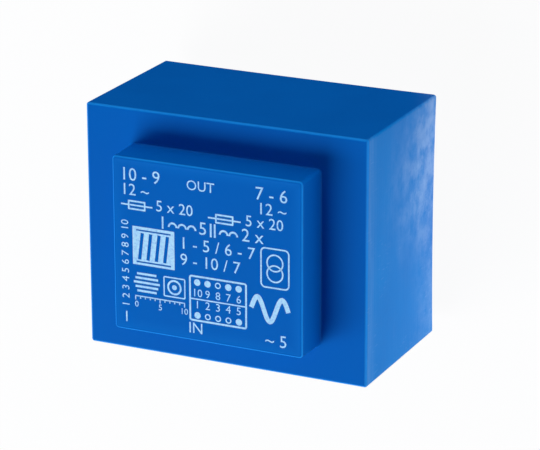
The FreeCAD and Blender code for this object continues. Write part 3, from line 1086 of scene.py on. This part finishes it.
@dataclass
class BossPrint:
    """The print on the boss: plain figures, the two rows of pins and simple signs of a winding."""

    face_z: float
    stroke: float = 0.34
    small_cap: float = 2.05
    hump: float = 0.9

    def build(self) -> Piece:
        """Print everything as one piece."""
        sheet = InkSheet(self.face_z)
        for part in (
            self._terminals, self._winding_diagram, self._coil_panel, self._linked_rings,
            self._small_signs, self._pin_map, self._wave,
        ):
            part(sheet)
        return sheet.piece("boss_print")

    def _terminals(self, sheet: InkSheet) -> None:
        """The figures at the four corners, with a fuse's sign at each output."""
        sheet.words("10 - 9", (-16.3, 11.55), 2.2)
        sheet.words("12 ~", (-16.2, 8.95), 2.0)
        sheet.words("7 - 6", (15.1, 11.45), 2.2, Align.RIGHT)
        sheet.words("12 ~", (14.9, 8.95), 2.0, Align.RIGHT)
        sheet.words("OUT", (-1.1, 11.4), 1.7, Align.MIDDLE)
        self._fuse(sheet, (-16.2, 7.2), 6.0)
        sheet.words("5 x 20", (-9.6, 6.75), 1.9)
        self._fuse(sheet, (0.3, 7.0), 6.1)
        sheet.words("5 x 20", (7.2, 6.5), 1.9)
        sheet.words("IN", (-2.2, -14.2), 1.9, Align.MIDDLE)
        sheet.words("1", (-16.2, -14.1), 1.9)
        sheet.words("~ 5", (15.0, -14.2), 2.1, Align.RIGHT)
        sheet.words("1 2 3 4 5 6 7 8 9 10", (-14.9, -11.4), 1.35, turn=90.0)

    def _fuse(self, sheet: InkSheet, at: Point, length: float) -> None:
        """A fuse's sign: a box on a line.

        Args:
            sheet: The sheet that it is printed on.
            at: The left end of its line.
            length: The line's length.
        """
        x, y = at
        half = 0.85
        low, high = (x + length * 0.22, y - half), (x + length * 0.78, y + half)
        sheet.border(low, high, 0.12, self.stroke * 0.9)
        sheet.line([(x, y), (low[0] + 0.02, y)], self.stroke * 0.8)
        sheet.line([(low[0] + self.stroke, y), (high[0] - self.stroke, y)], self.stroke * 0.8)
        sheet.line([(high[0] - 0.02, y), (x + length, y)], self.stroke * 0.8)

    def _humps(self, sheet: InkSheet, at: Point, count: int) -> float:
        """A row of half circles, the sign of a winding.

        Args:
            sheet: The sheet that it is printed on.
            at: The left end of its base line.
            count: The number of half circles.

        Returns:
            The x of its right end.
        """
        x, y = at
        for k in range(count):
            middle = (x + self.hump * (2 * k + 1), y)
            outer = arc(middle, self.hump, 0.0, 180.0)
            inner = arc(middle, self.hump - self.stroke, 180.0, -180.0)
            sheet.fill([outer + inner])
        return x + 2 * self.hump * count

    def _winding_diagram(self, sheet: InkSheet) -> None:
        """The windings in a row: the primary, the bars of the core and the two secondaries."""
        base, cap = 3.75, 2.2
        sheet.words("1", (-9.1, base), cap)
        x = self._humps(sheet, (-7.3, base + 0.5), 3)
        sheet.words("5", (x + 0.4, base), cap)
        for bar in (0.4, 1.15):
            at = x + 2.3 + bar
            sheet.line([(at, base - 0.2), (at, base + cap)], self.stroke)
        x = self._humps(sheet, (x + 4.2, base + 0.5), 2)
        sheet.words("2 x", (x + 0.6, base), cap)

    def _coil_panel(self, sheet: InkSheet) -> None:
        """A white panel with the sign of a wound core left free of ink."""
        low, high = (-14.1, -3.4), (-6.1, 3.5)
        loops = [round_box(low, high, 0.12)]
        middle = (low[0] + high[0]) / 2
        core_foot, core_head = -1.9, 1.9
        for k in range(4):
            x = middle - 2.4 + 1.6 * k
            loops.append(ribbon([(x - 0.3, core_foot - 0.5), (x + 0.3, core_head + 0.5)], 0.62))
        for y in (core_head + 0.95, core_foot - 0.95):
            loops.append(ribbon([(low[0] + 0.7, y), (high[0] - 0.7, y)], 0.28))
        sheet.fill(loops)
        sheet.words("1 - 5 / 6 - 7", (-5.1, 0.75), self.small_cap, spread=1.02)
        sheet.words("9 - 10 / 7", (-5.1, -2.2), self.small_cap, spread=1.02)

    def _linked_rings(self, sheet: InkSheet) -> None:
        """Two linked rings in a frame, the short sign of a transformer."""
        sheet.border((10.0, -3.9), (15.4, 3.3), 0.9, self.stroke * 0.8)
        for y in (-1.25, 0.65):
            sheet.ring((12.7, y), 1.45, self.stroke * 0.8)

    def _small_signs(self, sheet: InkSheet) -> None:
        """A stack of plates, a wound ring and a short scale."""
        for k in range(5):
            half = 2.5 - 0.32 * abs(k - 2)
            y = -8.1 + 0.78 * k
            sheet.line([(-11.5 - half, y), (-11.5 + half, y)], 0.4)
        sheet.border((-8.3, -8.4), (-4.1, -4.7), 0.3, self.stroke * 0.7)
        sheet.ring((-6.2, -6.55), 1.2, self.stroke)
        sheet.dot((-6.2, -6.55), 0.45)
        base = -9.1
        sheet.line([(-13.8, base), (-4.2, base)], 0.22)
        for k in range(11):
            x = -13.7 + 0.94 * k
            reach = 0.75 if k % 5 == 0 else 0.45
            sheet.line([(x, base + 0.05), (x, base - reach)], 0.2)
        for k, figure in enumerate(("0", "5", "10")):
            sheet.words(figure, (-13.5 + 4.55 * k, -11.1), 1.05, Align.MIDDLE)

    def _pin_map(self, sheet: InkSheet) -> None:
        """The places of the ten pins in a frame, filled where a pin is fitted."""
        low, high = (-3.4, -12.0), (7.5, -3.7)
        sheet.border(low, high, 0.5, self.stroke)
        fitted = {1, 5, 6, 7, 9, 10}
        pitch, middle = 1.95, (low[0] + high[0]) / 2
        for k in range(5):
            x = middle + pitch * (k - 2)
            for number, y, label in ((k + 1, -10.9, -9.6), (10 - k, -4.95, -7.5)):
                if number in fitted:
                    sheet.dot((x, y), 0.6)
                else:
                    sheet.ring((x, y), 0.45, 0.22)
                sheet.words(str(number), (x, label), 1.35, Align.MIDDLE)
        sheet.line([(low[0] + 0.3, -7.95), (high[0] - 0.3, -7.95)], 0.24)

    def _wave(self, sheet: InkSheet) -> None:
        """One and a half turns of a wave, the sign of alternating current."""
        count, left, right, base, height = 36, 8.3, 15.2, -7.8, 2.1
        points = []
        for k in range(count + 1):
            share = k / count
            lift = height * math.sin(3.0 * math.pi * share)
            points.append((left + (right - left) * share, base + lift))
        sheet.line(points, 0.85)


@dataclass
class ResinSkin:
    """The rim of the cast resin, drawn up the walls of the housing and round the pins."""

    housing: MouldedHousing
    level: float = 0.8
    climb: float = 0.42
    reach: float = 0.75
    overlap: float = 0.05
    steps: int = 6

    def _profile(self) -> list[Point]:
        """The section as its distance from the wall and its height, from the wall inwards."""
        found = []
        for turn in quarter_turn(self.steps):
            away = self.reach * (1 - math.sin(turn))
            drop = self.climb * (1 - math.cos(turn))
            found.append((away, self.level - drop))
        found.append((-self.overlap, self.level - self.climb))
        found.append((-self.overlap, self.level + self.overlap))
        found.append((self.reach, self.level + self.overlap))
        return found

    def build(self, pins: Sequence[Point], pin_radius: float) -> Piece:
        """Make the meniscus along the walls and round each pin.

        Args:
            pins: Where the pins stand.
            pin_radius: Their radius.

        Returns:
            The piece.
        """
        case = self.housing
        mesh = bmesh.new()
        rings = []
        for away, z in self._profile():
            ring = case.bore().grown(-away, z).ring(case.spans)
            rings.append([mesh.verts.new(case.warp(point)) for point, _ in ring])
        weave(mesh, rings + rings[:1])
        for x, y in pins:
            rings = []
            for away, z in self._profile():
                ring = disc(pin_radius + away, z).ring(ROUND_SPANS)
                rings.append([mesh.verts.new(point + Vector((x, y, 0.0))) for point, _ in ring])
            weave(mesh, rings + rings[:1])
        return add_piece("resin_meniscus", sealed(mesh), RESIN)


@dataclass
class TinnedPin:
    """One pin: a round stem with a rounded tip, on the square root that stands in the bobbin."""

    radius: float = 0.5
    tip: float = 0.25
    foot_z: float = -3.9
    seat_z: float = 0.8
    root_half: float = 0.35
    head_z: float = 7.2
    tip_steps: int = 5

    def place(self, name: str) -> Point:
        """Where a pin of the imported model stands, in millimetres."""
        low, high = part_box(name)
        return (low[0] + high[0]) / 2 / MM, (low[1] + high[1]) / 2 / MM

    def build(self, name: str) -> Piece:
        """Make a finer pin in place of a node.

        Args:
            name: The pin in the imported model.

        Returns:
            The piece.
        """
        x, y = self.place(name)
        levels = []
        for turn in quarter_turn(self.tip_steps):
            r = self.radius - self.tip * (1 - math.sin(turn))
            levels.append(disc(r, self.foot_z + self.tip * (1 - math.cos(turn))))
        levels.append(disc(self.radius, self.seat_z))
        for z in (self.seat_z, self.head_z):
            levels.append(Level(self.root_half, self.root_half, 0.0, z))
        mesh = skin(levels, ROUND_SPANS)
        bmesh.ops.translate(mesh, verts=mesh.verts, vec=(x, y, 0.0))
        piece = add_piece("tinned_" + name, mesh, TIN)
        even_gloss(piece)
        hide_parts(name)
        return piece


@dataclass(frozen=True)
class Softbox:
    """One soft lamp. It either lights the surfaces or only glints in their edges."""

    name: str
    at: Point3
    length: float
    width: float
    watts: float
    glints: bool = False


@dataclass
class Studio:
    """The camera, the lamps, the floor and the air round the transformer."""

    camera_at: Point3 = (205.27, 160.99, 445.28)
    camera_right: Point3 = (0.90414, -0.0020, -0.42723)
    camera_back: Point3 = (0.40508, 0.3218, 0.85578)
    lens: float = 191.7
    sensor_mm: float = 36.0
    floor_half_m: float = 3.0
    floor_white: Colour = (0.82, 0.82, 0.82)
    floor_glow: float = 0.95
    mirror_near: Colour = (1.0, 1.0, 1.1)
    mirror_far: Colour = (0.2, 0.22, 0.26)
    mirror_dark: Colour = (0.004, 0.004, 0.006)
    bounce_bright: Colour = (1.1, 1.9, 1.9)
    bounce_dark: Colour = (0.08, 0.58, 0.62)
    bounce_beneath: Colour = (1.3, 1.3, 1.3)
    mirror_beneath: Colour = (0.25, 0.25, 0.27)
    air_light: Colour = (0.02, 0.075, 0.175)
    air_gloss: Colour = (0.004, 0.004, 0.006)
    horizon_gloss: Colour = (0.6, 0.6, 0.62)
    right_along_x: Point = (20.0, 27.0)
    right_along_y: Point = (28.0, 19.0)
    near_along_x: Point = (37.0, 28.0)
    beneath_along_x: Point = (26.5, 23.0)
    beneath_along_y: Point = (22.0, 18.0)
    horizon_from: Point = (90.0, 200.0)
    horizon_rise: Point = (0.42, 0.2)
    aim: Point3 = (0.0, 0.0, 15.0)
    lamps: tuple[Softbox, ...] = (
        Softbox("key_lamp", (-420.0, -420.0, 640.0), 760.0, 420.0, 8.4),
        Softbox("right_lamp", (620.0, -40.0, 90.0), 320.0, 260.0, 1.15),
        Softbox("back_lamp", (-40.0, 620.0, 90.0), 320.0, 260.0, 1.6),
        Softbox("right_glint", (600.0, -225.0, 285.0), 160.0, 160.0, 0.5, True),
        Softbox("back_glint", (-285.0, 600.0, 225.0), 160.0, 160.0, 0.3, True),
    )

    def build(self, floor_z: float) -> None:
        """Set up everything.

        Args:
            floor_z: The height of the floor, in metres.
        """
        self._camera()
        self._floor(floor_z)
        self._world()
        for lamp in self.lamps:
            self._lamp(lamp)
        bpy.context.scene.view_settings.view_transform = "Standard"

    def _camera(self) -> None:
        """The camera stands where the photograph was taken from, rolled so that +Y is up."""
        data = bpy.data.cameras.new("camera")
        data.lens = self.lens
        data.sensor_width = self.sensor_mm
        data.clip_start = 0.01
        data.clip_end = 20.0
        camera = show("camera", data)
        back = Vector(self.camera_back).normalized()
        right = Vector(self.camera_right).normalized()
        up = back.cross(right).normalized()
        right = up.cross(back)
        turn = Matrix((right, up, back)).transposed().to_4x4()
        camera.matrix_world = Matrix.Translation(Vector(self.camera_at) * MM) @ turn
        bpy.context.scene.camera = camera

    def _floor(self, floor_z: float) -> None:
        """A plain white floor that shows nearly pure white to the camera and keeps a faint shadow."""
        mesh = bmesh.new()
        half = self.floor_half_m
        corners = [(-half, -half), (half, -half), (half, half), (-half, half)]
        mesh.faces.new([mesh.verts.new((x, y, floor_z)) for x, y in corners])
        data = bpy.data.meshes.new("floor")
        mesh.to_mesh(data)
        mesh.free()
        floor = show("floor", data)
        floor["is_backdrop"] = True
        material = bpy.data.materials.new("floor_white")
        self._shade_floor(Shader(material), floor_z)
        data.materials.append(material)

    def _shade_floor(self, shader: Shader, floor_z: float) -> None:
        """Each kind of ray meets the floor that it needs: white, mirrored bright to one side, or lit.

        Args:
            shader: The floor material's tree.
            floor_z: The height of the floor, in metres.
        """
        path = shader.node("ShaderNodeLightPath", {}, {}).outputs
        place = shader.place()
        across, along = shader.axis(place, "X"), shader.axis(place, "Y")
        right_side = across.step(*self.right_along_x) * along.step(*self.right_along_y)
        near_wall = across.step(*self.near_along_x)
        beneath = abs(across).step(*self.beneath_along_x) * abs(along).step(*self.beneath_along_y)

        matte = shader.node("ShaderNodeBsdfDiffuse", {}, {"Color": rgba(self.floor_white)}).outputs[0]
        seen = shader.mixed(self.floor_glow, matte, shader.glow((1.0, 1.0, 1.0)))
        bright = shader.blend(near_wall, self.mirror_far, self.mirror_near)
        away = shader.distance(place, (0.0, 0.0, floor_z / MM)).step(*self.horizon_from)
        dark = shader.blend(away, self.mirror_dark, self.horizon_gloss)
        bright = shader.blend(right_side, dark, bright)
        mirrored = shader.glow(shader.blend(beneath, bright, self.mirror_beneath))
        lift = shader.blend(right_side, self.bounce_dark, self.bounce_bright)
        lifted = shader.glow(shader.blend(beneath, lift, self.bounce_beneath))
        plain = shader.mixed(path["Is Diffuse Ray"], matte, lifted)
        plain = shader.mixed(path["Is Glossy Ray"], plain, mirrored)
        look = shader.mixed(path["Is Camera Ray"], plain, seen)
        clear = shader.node("ShaderNodeBsdfTransparent", {}, {}).outputs[0]
        under = shader.node("ShaderNodeNewGeometry", {}, {}).outputs["Backfacing"]
        one_way = shader.mixed(under, look, clear)
        shader.node("ShaderNodeOutputMaterial", {}, {"Surface": one_way})

    def _world(self) -> None:
        """White to the camera, a plain grey to the surfaces and nearly dark to their gloss."""
        world = bpy.data.worlds.new("studio_air")
        bpy.context.scene.world = world
        shader = Shader(world)
        path = shader.node("ShaderNodeLightPath", {}, {}).outputs
        way = shader.node("ShaderNodeTexCoord", {}, {}).outputs["Generated"]
        horizon = abs(shader.axis(way, "Z")).step(*self.horizon_rise)
        gloss = shader.blend(horizon, self.air_gloss, self.horizon_gloss)
        level = shader.blend(path["Is Glossy Ray"], self.air_light, gloss)
        level = shader.blend(path["Is Camera Ray"], level, (1.0, 1.0, 1.0))
        air = shader.node("ShaderNodeBackground", {}, {"Color": level})
        shader.node("ShaderNodeOutputWorld", {}, {"Surface": air.outputs[0]})

    def _lamp(self, lamp: Softbox) -> None:
        """Hang one soft lamp so that it faces the transformer, with its length along X."""
        data = bpy.data.lights.new(lamp.name, "AREA")
        data.shape = "RECTANGLE"
        data.size = lamp.length * MM
        data.size_y = lamp.width * MM
        data.energy = lamp.watts
        hung = show(lamp.name, data)
        place = Vector(lamp.at)
        back = (place - Vector(self.aim)).normalized()
        side = Vector((1.0, 0.0, 0.0)) if abs(back.x) < 0.8 else Vector((0.0, 1.0, 0.0))
        across = (side - back * side.dot(back)).normalized()
        turn = Matrix((across, back.cross(across), back)).transposed().to_4x4()
        hung.matrix_world = Matrix.Translation(place * MM) @ turn
        hung.visible_camera = False
        hung.visible_glossy = lamp.glints
        hung.visible_diffuse = not lamp.glints


def dress_nodes() -> None:
    """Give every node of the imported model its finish."""
    for name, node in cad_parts.items():
        for starts, finish in NODE_FINISHES:
            if name.startswith(starts):
                finish.dress(node)


def main() -> None:
    """Build and dress the transformer, and set up the studio with its floor at the model's lowest point."""
    logging.basicConfig(level=logging.INFO, format="%(message)s")
    cad_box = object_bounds()
    dress_nodes()
    housing = MouldedHousing()
    housing.build()
    BossPrint(housing.top_z - housing.boss_sink).build()
    pin = TinnedPin()
    names = [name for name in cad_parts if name.startswith("pin_")]
    ResinSkin(housing).build([pin.place(name) for name in names], pin.radius)
    for name in names:
        pin.build(name)
    Studio().build(cad_box[0][2])


if __name__ == "__main__":
    main()
